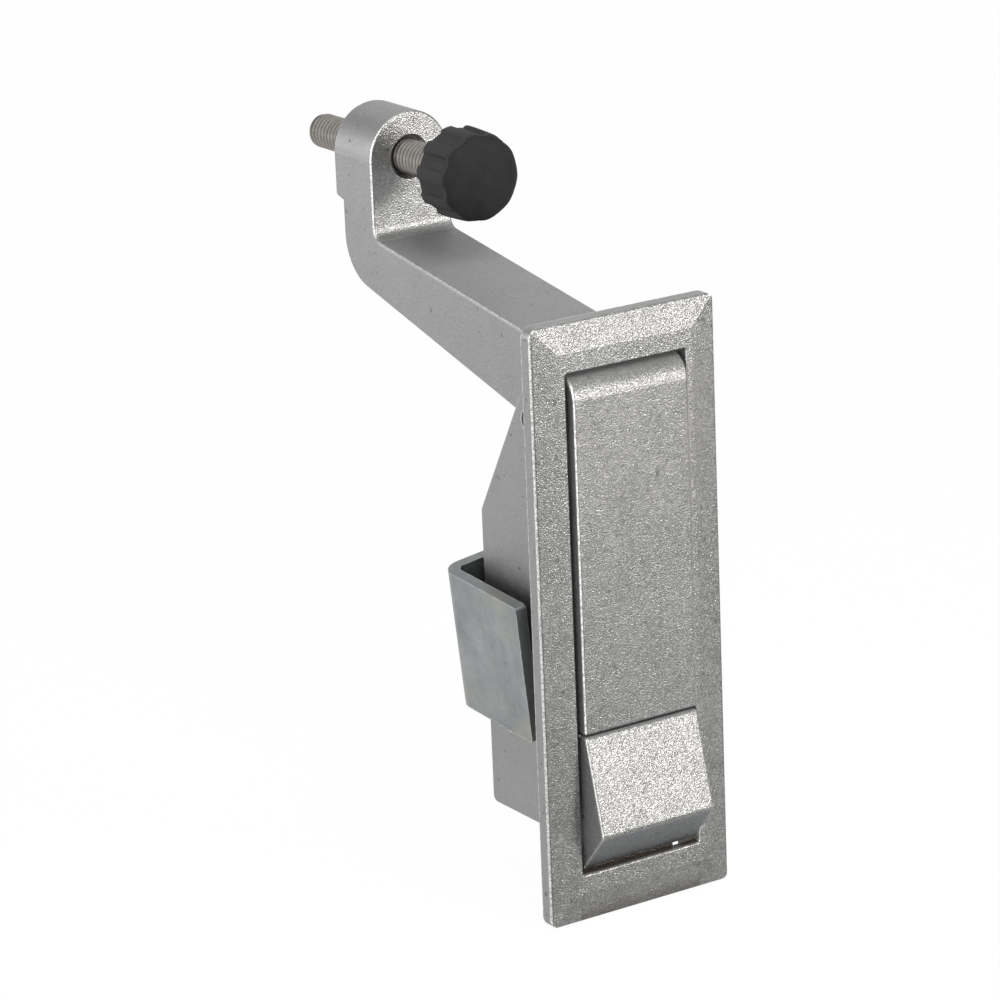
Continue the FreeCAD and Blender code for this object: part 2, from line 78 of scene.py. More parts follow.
class NodeSheet:
    """Adds nodes to one node tree and links them."""

    def __init__(self, tree: bpy.types.NodeTree) -> None:
        """Keeps the tree and the place of the next node.

        Args:
            tree: The tree that the nodes go into.
        """
        self.tree = tree
        self.count = 0

    def add(self, kind: str, inputs: dict[Any, Any] | None = None, **settings: Any) -> bpy.types.Node:
        """Adds one node.

        Args:
            kind: The node's type.
            inputs: Values or sockets for the node's inputs, by name or number.
            **settings: Properties of the node itself.

        Returns:
            The new node.
        """
        node = self.tree.nodes.new(kind)
        node.location = (220 * (self.count % 8), -260 * (self.count // 8))
        self.count += 1
        for name, value in settings.items():
            setattr(node, name, value)
        for key, value in (inputs or {}).items():
            if isinstance(value, bpy.types.NodeSocket):
                self.tree.links.new(value, node.inputs[key])
            else:
                node.inputs[key].default_value = value
        return node

    def math(self, operation: str, first: Any, second: Any = 0.0) -> bpy.types.NodeSocket:
        """Output of a Math node.

        Args:
            operation: The operation's name.
            first: First value or socket.
            second: Second value or socket.

        Returns:
            The node's output socket.
        """
        return self.add("ShaderNodeMath", {0: first, 1: second}, operation=operation).outputs[0]

    def ramp(self, value: Any, low: float, high: float, start: float = 0.0, end: float = 1.0) -> bpy.types.NodeSocket:
        """Output of a Map Range node that is clamped at both ends.

        Args:
            value: Socket that is mapped.
            low: Value that gives start.
            high: Value that gives end.
            start: Result at low.
            end: Result at high.

        Returns:
            The node's output socket.
        """
        inputs = {"Value": value, "From Min": low, "From Max": high, "To Min": start, "To Max": end}
        return self.add("ShaderNodeMapRange", inputs, clamp=True).outputs["Result"]

    def mix(self, share: Any, first: Any, second: Any) -> bpy.types.NodeSocket:
        """Colour output of a Mix node.

        Args:
            share: How much of the second colour shows.
            first: First colour or socket.
            second: Second colour or socket.

        Returns:
            The mixed colour's socket.
        """
        node = self.add("ShaderNodeMix", data_type="RGBA")
        sockets = [s for s in node.inputs if s.enabled]
        for socket, value in zip(sockets, (share, first, second)):
            if isinstance(value, bpy.types.NodeSocket):
                self.tree.links.new(value, socket)
            else:
                socket.default_value = value
        return [s for s in node.outputs if s.enabled][0]

    def place(self) -> bpy.types.Node:
        """A Texture Coordinate node."""
        return self.add("ShaderNodeTexCoord")

    def group(self, tree: bpy.types.NodeTree, **inputs: Any) -> bpy.types.Node:
        """Adds a node group.

        Args:
            tree: The group's tree.
            **inputs: Values or sockets for its inputs.

        Returns:
            The group's node.
        """
        node = self.add("ShaderNodeGroup", node_tree=tree)
        for name, value in inputs.items():
            socket = node.inputs[name]
            if isinstance(value, bpy.types.NodeSocket):
                self.tree.links.new(value, socket)
            else:
                socket.default_value = value
        return node


class SurfaceEffects:
    """The node groups that the finishes share, each built once."""

    ridge_end = 55.0 * MM

    def __init__(self) -> None:
        """Builds the groups."""
        self.grain = self.make_grain()
        self.arris_highlight_shade = self.make_arris_highlight_shade()
        self.wear = self.make_wear()
        self.specks = self.make_specks()
        self.mottle = self.make_mottle()

    @staticmethod
    def start(
        name: str, inputs: dict[str, float], outputs: list[str]
    ) -> tuple[NodeSheet, bpy.types.Node, bpy.types.Node]:
        """An empty group with its sockets.

        Args:
            name: The group's name.
            inputs: Names and defaults of its inputs.
            outputs: Names of its outputs.

        Returns:
            The sheet, the group's input node and its output node.
        """
        tree = bpy.data.node_groups.new(name, "ShaderNodeTree")
        for label, value in inputs.items():
            socket = tree.interface.new_socket(name=label, in_out="INPUT", socket_type="NodeSocketFloat")
            socket.default_value = value
        for label in outputs:
            tree.interface.new_socket(name=label, in_out="OUTPUT", socket_type="NodeSocketFloat")
        sheet = NodeSheet(tree)
        return sheet, sheet.add("NodeGroupInput"), sheet.add("NodeGroupOutput")

    @staticmethod
    def scaled(sheet: NodeSheet, size: bpy.types.NodeSocket) -> bpy.types.NodeSocket:
        """Object coordinates divided by a size.

        Args:
            sheet: The group's sheet.
            size: The size's socket.

        Returns:
            The scaled vector's socket.
        """
        place = sheet.place().outputs["Object"]
        times = sheet.math("DIVIDE", 1.0, size)
        node = sheet.add("ShaderNodeVectorMath", {"Vector": place, "Scale": times}, operation="SCALE")
        return node.outputs["Vector"]

    def make_grain(self) -> bpy.types.NodeTree:
        """Fine sand-like grain of a textured die: Size in, Height and Tone out."""
        sheet, given, result = self.start("die_grain", {"Size": 0.5 * MM}, ["Height", "Tone"])
        place = self.scaled(sheet, given.outputs["Size"])
        cells = sheet.add("ShaderNodeTexVoronoi", {"Vector": place, "Scale": 1.4})
        cloud = sheet.add("ShaderNodeTexNoise", {"Vector": place, "Scale": 1.3, "Detail": 1.0})
        rough = sheet.math("MULTIPLY", cloud.outputs["Fac"], 0.9)
        total = sheet.math("SUBTRACT", rough, sheet.math("MULTIPLY", cells.outputs["Distance"], 0.55))
        chance = sheet.add("ShaderNodeSeparateColor", {"Color": cells.outputs["Color"]}).outputs[0]
        drift = sheet.ramp(cloud.outputs["Fac"], 0.3, 0.7)
        tone = sheet.math("ADD", sheet.math("MULTIPLY", chance, 0.6), sheet.math("MULTIPLY", drift, 0.4))
        sheet.tree.links.new(total, result.inputs["Height"])
        sheet.tree.links.new(tone, result.inputs["Tone"])
        return sheet.tree

    def make_arris_highlight_shade(self) -> bpy.types.NodeTree:
        """Painted highlight and painted shade along the rounded arrises between the sides and the front or top.

        Returns:
            A group with Ridge, 0 or 1 for the top arrises, and Breakup in, and two masks out: the painted highlight
            and the painted shade.
        """
        sheet, given, result = self.start("arris_highlight_shade", {"Ridge": 0.0, "Breakup": 1.5 * MM}, ["Bright", "PaintedShade"])
        place = sheet.place()
        normal = sheet.add("ShaderNodeSeparateXYZ", {"Vector": place.outputs["Normal"]}).outputs
        along, out, rise = (sheet.math("ABSOLUTE", normal[axis]) for axis in range(3))
        # Painted highlight is stronger on left-facing arrises, where the light comes from.
        handed = sheet.ramp(normal[0], -0.1, 0.1, 1.0, 0.3)
        height = sheet.add("ShaderNodeSeparateXYZ", {0: place.outputs["Object"]}).outputs[2]
        low = sheet.ramp(height, self.ridge_end + 0.5 * MM, self.ridge_end - 0.5 * MM)
        ridge = sheet.math("MULTIPLY", sheet.math("MULTIPLY", rise, low), given.outputs["Ridge"])
        turned = sheet.math("MULTIPLY", along, sheet.math("MAXIMUM", out, ridge))
        spread = self.scaled(sheet, given.outputs["Breakup"])
        cloud = sheet.add("ShaderNodeTexNoise", {"Vector": spread, "Detail": 3.0})
        broken = sheet.ramp(cloud.outputs["Fac"], 0.4, 0.58, 0.25, 1.0)
        dashed = sheet.ramp(cloud.outputs["Fac"], 0.42, 0.5, 0.25, 1.0)
        # Painted highlight: a broken bright line on the rounded arrises.
        bright = sheet.math("MULTIPLY", sheet.math("MULTIPLY", sheet.ramp(turned, 0.32, 0.45), broken), handed)
        # Painted shade: a dashed dark line on the fillet, beside the front face.
        near = sheet.math("MULTIPLY", sheet.ramp(along, 0.17, 0.22), sheet.ramp(along, 0.38, 0.32))
        face = sheet.ramp(sheet.math("MAXIMUM", out, ridge), 0.75, 0.85)
        dark = sheet.math("MULTIPLY", sheet.math("MULTIPLY", near, face), dashed)
        sheet.tree.links.new(bright, result.inputs["Bright"])
        sheet.tree.links.new(dark, result.inputs["PaintedShade"])
        return sheet.tree

    def make_wear(self) -> bpy.types.NodeTree:
        """Rubbed edges: Width and Breakup in, Mask out."""
        sheet, given, result = self.start("rubbed_edges", {"Width": 0.4 * MM, "Breakup": 2.0 * MM}, ["Mask"])
        bevel = sheet.add("ShaderNodeBevel", {"Radius": given.outputs["Width"]}, samples=6)
        true = sheet.add("ShaderNodeNewGeometry").outputs["Normal"]
        dot = sheet.add("ShaderNodeVectorMath", {0: bevel.outputs["Normal"], 1: true}, operation="DOT_PRODUCT")
        edge = sheet.ramp(dot.outputs["Value"], 0.992, 0.93)
        place = self.scaled(sheet, given.outputs["Breakup"])
        cloud = sheet.add("ShaderNodeTexNoise", {"Vector": place, "Scale": 1.0, "Detail": 4.0})
        broken = sheet.ramp(cloud.outputs["Fac"], 0.36, 0.6, 0.15, 1.0)
        sheet.tree.links.new(sheet.math("MULTIPLY", edge, broken), result.inputs["Mask"])
        return sheet.tree

    def make_specks(self) -> bpy.types.NodeTree:
        """Scattered small specks: Size and Share in, Mask out."""
        sheet, given, result = self.start("specks", {"Size": 1.0 * MM, "Share": 0.3}, ["Mask"])
        place = self.scaled(sheet, given.outputs["Size"])
        cloud = sheet.add("ShaderNodeTexNoise", {"Vector": place, "Scale": 1.7, "Detail": 2.0})
        shift = sheet.add("ShaderNodeVectorMath", {0: place, 1: cloud.outputs["Color"]}, operation="ADD")
        cells = sheet.add("ShaderNodeTexVoronoi", {"Vector": shift.outputs[0], "Scale": 1.0})
        tints = sheet.add("ShaderNodeSeparateColor", {"Color": cells.outputs["Color"]}).outputs
        reach = sheet.ramp(tints[1], 0.0, 1.0, 0.05, 0.28)
        near = sheet.ramp(sheet.math("DIVIDE", cells.outputs["Distance"], reach), 1.0, 0.5)
        chosen = sheet.math("LESS_THAN", tints[0], given.outputs["Share"])
        faint = sheet.ramp(tints[2], 0.0, 1.0, 0.35, 1.0)
        spots = sheet.math("MULTIPLY", sheet.math("MULTIPLY", near, chosen), faint)
        sheet.tree.links.new(spots, result.inputs["Mask"])
        return sheet.tree

    def make_mottle(self) -> bpy.types.NodeTree:
        """Slow change of tone over a surface: Size in, Mask out."""
        sheet, given, result = self.start("mottle", {"Size": 10.0 * MM}, ["Mask"])
        place = self.scaled(sheet, given.outputs["Size"])
        cloud = sheet.add("ShaderNodeTexNoise", {"Vector": place, "Scale": 1.0, "Detail": 5.0, "Roughness": 0.65})
        sheet.tree.links.new(sheet.ramp(cloud.outputs["Fac"], 0.3, 0.7), result.inputs["Mask"])
        return sheet.tree


@dataclass(frozen=True)
class EjectorMark:
    """Faint round mark that an ejector pin leaves on a casting."""

    centre: Point = (1.0 * MM, 28.0 * MM, 46.9 * MM)
    radius: float = 3.1 * MM
    width: float = 0.22 * MM

    def mask(self, sheet: NodeSheet) -> bpy.types.NodeSocket:
        """Mask of the ring.

        Args:
            sheet: The material's sheet.

        Returns:
            The mask's socket, 1 on the ring.
        """
        place = sheet.place().outputs["Object"]
        far = sheet.add("ShaderNodeVectorMath", {0: place, 1: self.centre}, operation="DISTANCE").outputs["Value"]
        off = sheet.math("ABSOLUTE", sheet.math("SUBTRACT", far, self.radius))
        return sheet.ramp(off, self.width, 0.0)


@dataclass(frozen=True)
class CastFinish:
    """Satin plated zinc casting: grained on its front, smoother at its sides."""

    name: str = "cast_zinc"
    dark: Colour = (0.145, 0.145, 0.143, 1.0)
    light: Colour = (0.217, 0.217, 0.213, 1.0)
    # Painted light: the lighter colour given to faces turned sideways.
    painted_side_light: Colour = (0.33, 0.33, 0.33, 1.0)
    # Painted shade: the slightly darker tone given to upward faces.
    top: Colour = (0.17, 0.17, 0.173, 1.0)
    # Painted shade: the darker, bluish tone given to downward faces.
    painted_underside_shade: Colour = (0.13, 0.138, 0.148, 1.0)
    # Colour of dark grain pits, and also of the painted shade beside the arrises.
    pit_and_arris_shade: Colour = (0.075, 0.075, 0.074, 1.0)
    # Painted glints: the colour of bright grain flecks that stand in for facets catching the lamps.
    painted_glint: Colour = (0.62, 0.61, 0.59, 1.0)
    # Colour of rubbed edges, and also of the painted highlight on the arrises.
    rubbed: Colour = (0.9, 0.89, 0.87, 1.0)
    speck: Colour = (0.07, 0.07, 0.07, 1.0)
    # Painted shade, tinted brown, for the slot at the bottom of the opening.
    slot_shade: Colour = (0.045, 0.032, 0.024, 1.0)
    metallic: float = 0.85
    metallic_top: float = 0.12
    roughness: float = 0.31
    roughness_spread: float = 0.05
    roughness_off_front: float = 0.14
    grain_size: float = 0.32 * MM
    grain_depth: float = 0.08 * MM
    side_depth: float = 0.36
    side_cover: float = 0.32
    mottle_size: float = 7.0 * MM
    fine_size: float = 1.1 * MM
    side_share: float = 0.55
    top_share: float = 0.6
    under_share: float = 0.7
    pit_share: float = 0.42
    painted_glint_share: float = 0.25
    speck_size: float = 1.7 * MM
    speck_chance: float = 0.42
    speck_share: float = 0.8
    wear_width: float = 0.5 * MM
    wear_breakup: float = 1.1 * MM
    wear_share: float = 0.55
    arris_shade_share: float = 0.8
    arris_highlight_share: float = 0.62
    ridge: float = 0.0
    far_start: float = 40.0 * MM
    far_run: float = 10.0 * MM
    far_painted_light: float = 0.0
    far_cover: float = 0.6
    slot_line: float = -40.3 * MM
    slot_half: float = 11.7 * MM
    slot_front: float = -2.7 * MM
    slot_back: float = -2.1 * MM
    slot_shade_share: float = 0.85
    mark_share: float = 0.35
    mark_depth: float = 0.6
    bump_strength: float = 0.9
    marks: tuple[EjectorMark, ...] = ()

    def material(self, effects: SurfaceEffects) -> bpy.types.Material:
        """Builds the material.

        Args:
            effects: The shared node groups.

        Returns:
            The finished material.
        """
        stuff, sheet, shader = new_material(self.name)
        place = sheet.place()
        normal = sheet.add("ShaderNodeSeparateXYZ", {"Vector": place.outputs["Normal"]}).outputs
        spot = sheet.add("ShaderNodeSeparateXYZ", {"Vector": place.outputs["Object"]}).outputs
        front = sheet.ramp(normal["Y"], -0.6, -0.9)
        painted_side_light = sheet.ramp(sheet.math("ABSOLUTE", normal["X"]), 0.6, 0.9)
        grain = sheet.group(effects.grain, Size=self.grain_size).outputs
        mottle = sheet.group(effects.mottle, Size=self.mottle_size).outputs["Mask"]
        fine = sheet.group(effects.mottle, Size=self.fine_size).outputs["Mask"]
        cloud = sheet.math("ADD", sheet.math("MULTIPLY", mottle, 0.5), sheet.math("MULTIPLY", fine, 0.5))
        body = sheet.mix(cloud, self.dark, self.light)
        # Painted light: faces turned sideways are mixed towards a lighter colour.
        body = sheet.mix(sheet.math("MULTIPLY", painted_side_light, self.side_share), body, self.painted_side_light)
        # Painted shade: upward faces are mixed towards a darker tone.
        top = sheet.math("MULTIPLY", sheet.ramp(normal["Z"], 0.9, 0.97), self.top_share)
        body = sheet.mix(top, body, self.top)
        # Painted shade: downward faces are mixed towards a darker tone.
        painted_underside_shade = sheet.math("MULTIPLY", sheet.ramp(normal["Z"], -0.4, -0.6), self.under_share)
        body = sheet.mix(painted_underside_shade, body, self.painted_underside_shade)
        deep = sheet.ramp(spot["Y"], self.far_start, self.far_start + self.far_run)
        far = sheet.math("MULTIPLY", deep, front)
        # Painted light: front faces far back, such as the lever's lobe, are lifted towards the lighter side colour.
        body = sheet.mix(sheet.math("MULTIPLY", far, self.far_painted_light), body, self.painted_side_light)
        cover = sheet.ramp(front, 0.0, 1.0, self.side_cover, 1.0)
        cover = sheet.math("MULTIPLY", cover, sheet.ramp(far, 0.0, 1.0, 1.0, self.far_cover))
        pits = sheet.math("MULTIPLY", sheet.ramp(grain["Tone"], 0.44, 0.16), cover)
        body = sheet.mix(sheet.math("MULTIPLY", pits, self.pit_share), body, self.pit_and_arris_shade)
        # Painted glints: bright flecks of the grain on the front faces.
        glints = sheet.math("MULTIPLY", sheet.ramp(grain["Tone"], 0.56, 0.86), cover)
        body = sheet.mix(sheet.math("MULTIPLY", glints, self.painted_glint_share), body, self.painted_glint)
        specks = sheet.group(effects.specks, Size=self.speck_size, Share=self.speck_chance).outputs["Mask"]
        body = sheet.mix(sheet.math("MULTIPLY", specks, self.speck_share), body, self.speck)
        wear = sheet.group(effects.wear, Width=self.wear_width, Breakup=self.wear_breakup).outputs["Mask"]
        body = sheet.mix(sheet.math("MULTIPLY", wear, self.wear_share), body, self.rubbed)
        arris_highlight_shade = sheet.group(effects.arris_highlight_shade, Ridge=self.ridge).outputs
        # Painted shade beside the rounded arrises.
        body = sheet.mix(sheet.math("MULTIPLY", arris_highlight_shade["PaintedShade"], self.arris_shade_share), body, self.pit_and_arris_shade)
        # Painted highlight along the rounded arrises.
        body = sheet.mix(sheet.math("MULTIPLY", arris_highlight_shade["Bright"], self.arris_highlight_share), body, self.rubbed)
        # Painted shade: a dark brown band in the slot at the bottom of the opening.
        low = sheet.ramp(spot["Z"], self.slot_line + 0.4 * MM, self.slot_line)
        inside = sheet.math("MULTIPLY", sheet.ramp(spot["Y"], self.slot_front, self.slot_back), low)
        within = sheet.ramp(sheet.math("ABSOLUTE", spot["X"]), self.slot_half + 0.3 * MM, self.slot_half)
        inside = sheet.math("MULTIPLY", inside, within)
        body = sheet.mix(sheet.math("MULTIPLY", inside, self.slot_shade_share), body, self.slot_shade)
        height = sheet.math("MULTIPLY", grain["Height"], sheet.ramp(front, 0.0, 1.0, self.side_depth, 1.0))
        for mark in self.marks:
            ring = mark.mask(sheet)
            body = sheet.mix(sheet.math("MULTIPLY", ring, self.mark_share), body, self.dark)
            height = sheet.math("SUBTRACT", height, sheet.math("MULTIPLY", ring, self.mark_depth))
        smooth, coarse = self.roughness - self.roughness_spread, self.roughness + self.roughness_spread
        rough = sheet.ramp(fine, 0.0, 1.0, smooth, coarse)
        rough = sheet.math("ADD", rough, sheet.ramp(front, 0.0, 1.0, self.roughness_off_front, 0.0))
        relief = {"Strength": self.bump_strength, "Distance": self.grain_depth, "Height": height}
        bump = sheet.add("ShaderNodeBump", relief)
        sheet.tree.links.new(body, shader.inputs["Base Color"])
        sheet.tree.links.new(rough, shader.inputs["Roughness"])
        sheet.tree.links.new(bump.outputs["Normal"], shader.inputs["Normal"])
        dull = sheet.ramp(normal["Z"], 0.7, 0.95, self.metallic, self.metallic_top)
        sheet.tree.links.new(dull, shader.inputs["Metallic"])
        return stuff


@dataclass(frozen=True)
class SheetZincFinish:
    """Bluish zinc plate on folded sheet, with a faint yellow stain."""

    name: str = "sheet_zinc"
    dark: Colour = (0.20, 0.212, 0.215, 1.0)
    light: Colour = (0.31, 0.322, 0.325, 1.0)
    stain: Colour = (0.30, 0.29, 0.22, 1.0)
    speck: Colour = (0.08, 0.08, 0.08, 1.0)
    rubbed: Colour = (0.72, 0.73, 0.74, 1.0)
    stain_share: float = 0.5
    speck_share: float = 0.4
    wear_share: float = 0.6
    metallic: float = 0.85
    roughness: float = 0.38

    def material(self, effects: SurfaceEffects) -> bpy.types.Material:
        """Builds the material.

        Args:
            effects: The shared node groups.

        Returns:
            The finished material.
        """
        stuff, sheet, shader = new_material(self.name)
        wide = sheet.group(effects.mottle, Size=6.0 * MM).outputs["Mask"]
        fine = sheet.group(effects.mottle, Size=0.8 * MM).outputs["Mask"]
        body = sheet.mix(wide, self.dark, self.light)
        patches = sheet.group(effects.mottle, Size=11.0 * MM).outputs["Mask"]
        body = sheet.mix(sheet.ramp(patches, 0.55, 0.95, 0.0, self.stain_share), body, self.stain)
        specks = sheet.group(effects.specks, Size=1.3 * MM, Share=0.12).outputs["Mask"]
        body = sheet.mix(sheet.math("MULTIPLY", specks, self.speck_share), body, self.speck)
        wear = sheet.group(effects.wear, Width=0.3 * MM, Breakup=1.2 * MM).outputs["Mask"]
        body = sheet.mix(sheet.math("MULTIPLY", wear, self.wear_share), body, self.rubbed)
        rough = sheet.ramp(fine, 0.0, 1.0, self.roughness - 0.07, self.roughness + 0.09)
        bump = sheet.add("ShaderNodeBump", {"Strength": 0.5, "Distance": 0.04 * MM, "Height": fine})
        sheet.tree.links.new(body, shader.inputs["Base Color"])
        sheet.tree.links.new(rough, shader.inputs["Roughness"])
        sheet.tree.links.new(bump.outputs["Normal"], shader.inputs["Normal"])
        shader.inputs["Metallic"].default_value = self.metallic
        return stuff


@dataclass(frozen=True)
class TurnedSteelFinish:
    """Plain drawn or turned steel: pins, springs and the stud."""

    name: str
    dark: Colour
    light: Colour
    roughness: float
    metallic: float = 0.9
    axis_height: float = 0.0
    groove: tuple[float, float] = (0.0, 0.0)
    # Painted shade: the colour put into the thread's roots.
    root_shade: Colour = (0.03, 0.027, 0.024, 1.0)
    root_shade_share: float = 0.95
    rubbed: Colour = (0.8, 0.78, 0.74, 1.0)
    wear_share: float = 0.3

    def material(self, effects: SurfaceEffects) -> bpy.types.Material:
        """Builds the material.

        Args:
            effects: The shared node groups.

        Returns:
            The finished material.
        """
        stuff, sheet, shader = new_material(self.name)
        fine = sheet.group(effects.mottle, Size=1.2 * MM).outputs["Mask"]
        body = sheet.mix(fine, self.dark, self.light)
        # Painted shade: darker towards the thread's roots, by distance from the stud's axis.
        if self.groove[1] > 0.0:
            spot = sheet.add("ShaderNodeSeparateXYZ", {"Vector": sheet.place().outputs["Object"]}).outputs
            drop = sheet.math("SUBTRACT", spot["Z"], self.axis_height)
            wide = sheet.math("MULTIPLY", spot["X"], spot["X"])
            square = sheet.math("ADD", wide, sheet.math("MULTIPLY", drop, drop))
            deep = sheet.ramp(sheet.math("SQRT", square), self.groove[1], self.groove[0])
            body = sheet.mix(sheet.math("MULTIPLY", deep, self.root_shade_share), body, self.root_shade)
        wear = sheet.group(effects.wear, Width=0.2 * MM, Breakup=0.9 * MM).outputs["Mask"]
        body = sheet.mix(sheet.math("MULTIPLY", wear, self.wear_share), body, self.rubbed)
        rough = sheet.ramp(fine, 0.0, 1.0, self.roughness - 0.04, self.roughness + 0.06)
        bump = sheet.add("ShaderNodeBump", {"Strength": 0.2, "Distance": 0.02 * MM, "Height": fine})
        sheet.tree.links.new(body, shader.inputs["Base Color"])
        sheet.tree.links.new(rough, shader.inputs["Roughness"])
        sheet.tree.links.new(bump.outputs["Normal"], shader.inputs["Normal"])
        shader.inputs["Metallic"].default_value = self.metallic
        return stuff


@dataclass(frozen=True)
class MouldedFinish:
    """Matte black moulding with a fine skin and dull rubbed edges."""

    name: str = "black_moulding"
    dark: Colour = (0.006, 0.0058, 0.006, 1.0)
    light: Colour = (0.014, 0.0134, 0.014, 1.0)
    skirt: Colour = (0.027, 0.0262, 0.027, 1.0)
    rubbed: Colour = (0.05, 0.05, 0.05, 1.0)
    wear_share: float = 0.5
    roughness: float = 0.68
    specular: float = 0.16

    def material(self, effects: SurfaceEffects) -> bpy.types.Material:
        """Builds the material.

        Args:
            effects: The shared node groups.

        Returns:
            The finished material.
        """
        stuff, sheet, shader = new_material(self.name)
        wide = sheet.group(effects.mottle, Size=4.0 * MM).outputs["Mask"]
        grain = sheet.group(effects.grain, Size=0.35 * MM).outputs["Height"]
        body = sheet.mix(wide, self.dark, self.light)
        out = sheet.add("ShaderNodeSeparateXYZ", {"Vector": sheet.place().outputs["Normal"]}).outputs["Y"]
        body = sheet.mix(sheet.ramp(sheet.math("ABSOLUTE", out), 0.5, 0.2), body, self.skirt)
        wear = sheet.group(effects.wear, Width=0.5 * MM, Breakup=1.8 * MM).outputs["Mask"]
        body = sheet.mix(sheet.math("MULTIPLY", wear, self.wear_share), body, self.rubbed)
        rough = sheet.ramp(wide, 0.0, 1.0, self.roughness - 0.05, self.roughness + 0.08)
        bump = sheet.add("ShaderNodeBump", {"Strength": 0.5, "Distance": 0.05 * MM, "Height": grain})
        sheet.tree.links.new(body, shader.inputs["Base Color"])
        sheet.tree.links.new(rough, shader.inputs["Roughness"])
        sheet.tree.links.new(bump.outputs["Normal"], shader.inputs["Normal"])
        shader.inputs["Specular IOR Level"].default_value = self.specular
        return stuff


def new_material(name: str) -> tuple[bpy.types.Material, NodeSheet, bpy.types.Node]:
    """A material with an empty sheet and one shader.

    Args:
        name: The material's name.

    Returns:
        The material, its sheet and its shader.
    """
    stuff = bpy.data.materials.new(name)
    stuff.use_nodes = True
    stuff.node_tree.nodes.clear()
    sheet = NodeSheet(stuff.node_tree)
    shader = sheet.add("ShaderNodeBsdfPrincipled")
    result = sheet.add("ShaderNodeOutputMaterial")
    sheet.tree.links.new(shader.outputs[0], result.inputs["Surface"])
    return stuff, sheet, shader


@dataclass(frozen=True)
class Finishes:
    """Every finish of the latch."""

    housing: bpy.types.Material
    lever: bpy.types.Material
    sheet: bpy.types.Material
    stud: bpy.types.Material
    pin: bpy.types.Material
    spring: bpy.types.Material
    knob: bpy.types.Material

    @classmethod
    def make(cls) -> "Finishes":
        """Builds all the materials."""
        effects = SurfaceEffects()
        stud = TurnedSteelFinish(
            "stud_stainless",
            (0.25, 0.235, 0.22, 1),
            (0.34, 0.32, 0.3, 1),
            0.3,
            axis_height=ThreadedStud.height,
            groove=(ThreadedStud.root + 0.1 * MM, ThreadedStud.crest - 0.04 * MM),
        )
        lever = CastFinish(
            name="cast_zinc_lever", ridge=0.8, slot_line=-1.0, arris_highlight_share=1.0, far_painted_light=0.5, marks=(EjectorMark(),)
        )
        pin = TurnedSteelFinish("pin_bright", (0.45, 0.44, 0.43, 1), (0.6, 0.59, 0.58, 1), 0.3)
        spring = TurnedSteelFinish("spring_wire", (0.2, 0.2, 0.2, 1), (0.34, 0.34, 0.34, 1), 0.35)
        return cls(
            housing=CastFinish().material(effects),
            lever=lever.material(effects),
            sheet=SheetZincFinish().material(effects),
            stud=stud.material(effects),
            pin=pin.material(effects),
            spring=spring.material(effects),
            knob=MouldedFinish().material(effects),
        )


def finish_piece(mesh: bmesh.types.BMesh, name: str, material: bpy.types.Material) -> bpy.types.Object:
    """Turns a bmesh into a smooth object at the origin.

    Args:
        mesh: The bmesh, which is freed.
        name: The piece's name.
        material: Its material.

    Returns:
        The new object.
    """
    bmesh.ops.recalc_face_normals(mesh, faces=mesh.faces)
    for face in mesh.faces:
        face.smooth = True
    data = bpy.data.meshes.new(name)
    mesh.to_mesh(data)
    mesh.free()
    data.materials.append(material)
    piece = bpy.data.objects.new(name, data)
    bpy.context.scene.collection.objects.link(piece)
    return piece


def chain(mesh: bmesh.types.BMesh, points: list[Vector]) -> list[Any]:
    """Vertices along an open line, with the edges between them.

    Args:
        mesh: The bmesh that they go into.
        points: The line's points.

    Returns:
        The vertices and edges.
    """
    corners = [mesh.verts.new(point) for point in points]
    return corners + [mesh.edges.new(pair) for pair in zip(corners, corners[1:])]


@dataclass
class ThreadedStud:
    """The adjusting stud, with a cut thread and chamfered ends."""

    front: float = 38.2 * MM
    back: float = 86.45 * MM
    height: float = 64.45 * MM
    crest: float = 2.97 * MM
    root: float = 2.33 * MM
    pitch: float = 1.0 * MM
    chamfer: float = 0.7 * MM
    steps: int = 32

    def build(self, material: bpy.types.Material) -> bpy.types.Object:
        """Makes the stud.

        Args:
            material: The stud's finish.

        Returns:
            The piece, which stands for the plain stud.
        """
        mesh = bmesh.new()
        turns = round((self.back - self.front) / self.pitch) + 3
        start = self.front - 1.5 * self.pitch
        shares = ((0.0, self.root), (0.08, self.root), (0.5, self.crest), (0.6, self.crest), (1.0, self.root))
        line = [Vector((radius, start + share * self.pitch, 0)) for share, radius in shares]
        bmesh.ops.spin(
            mesh,
            geom=chain(mesh, line),
            cent=(0, 0, 0),
            axis=(0, 1, 0),
            dvec=(0, self.pitch / self.steps, 0),
            angle=math.tau * turns,
            steps=self.steps * turns,
        )
        bmesh.ops.remove_doubles(mesh, verts=mesh.verts, dist=1e-5 * MM)
        for place, outward in ((self.front, -1), (self.back, 1)):
            geom = mesh.verts[:] + mesh.edges[:] + mesh.faces[:]
            bmesh.ops.bisect_plane(
                mesh, geom=geom, dist=1e-7, plane_co=(0, place, 0), plane_no=(0, outward, 0), clear_outer=True
            )
        self.chamfer_ends(mesh)
        bmesh.ops.holes_fill(mesh, edges=[e for e in mesh.edges if e.is_boundary])
        bmesh.ops.translate(mesh, verts=mesh.verts, vec=(0, 0, self.height))
        piece = finish_piece(mesh, "adjusting_stud_thread", material)
        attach(piece, "stud")
        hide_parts("adjusting_stud")
        return piece

    def chamfer_ends(self, mesh: bmesh.types.BMesh) -> None:
        """Draws the thread in towards both ends.

        Args:
            mesh: The stud's bmesh, about the Y axis.
        """
        for vert in mesh.verts:
            depth = min(vert.co.y - self.front, self.back - vert.co.y)
            limit = self.crest - max(0.0, self.chamfer - depth)
            radius = math.hypot(vert.co.x, vert.co.z)
            if radius > limit:
                vert.co.x *= limit / radius
                vert.co.z *= limit / radius


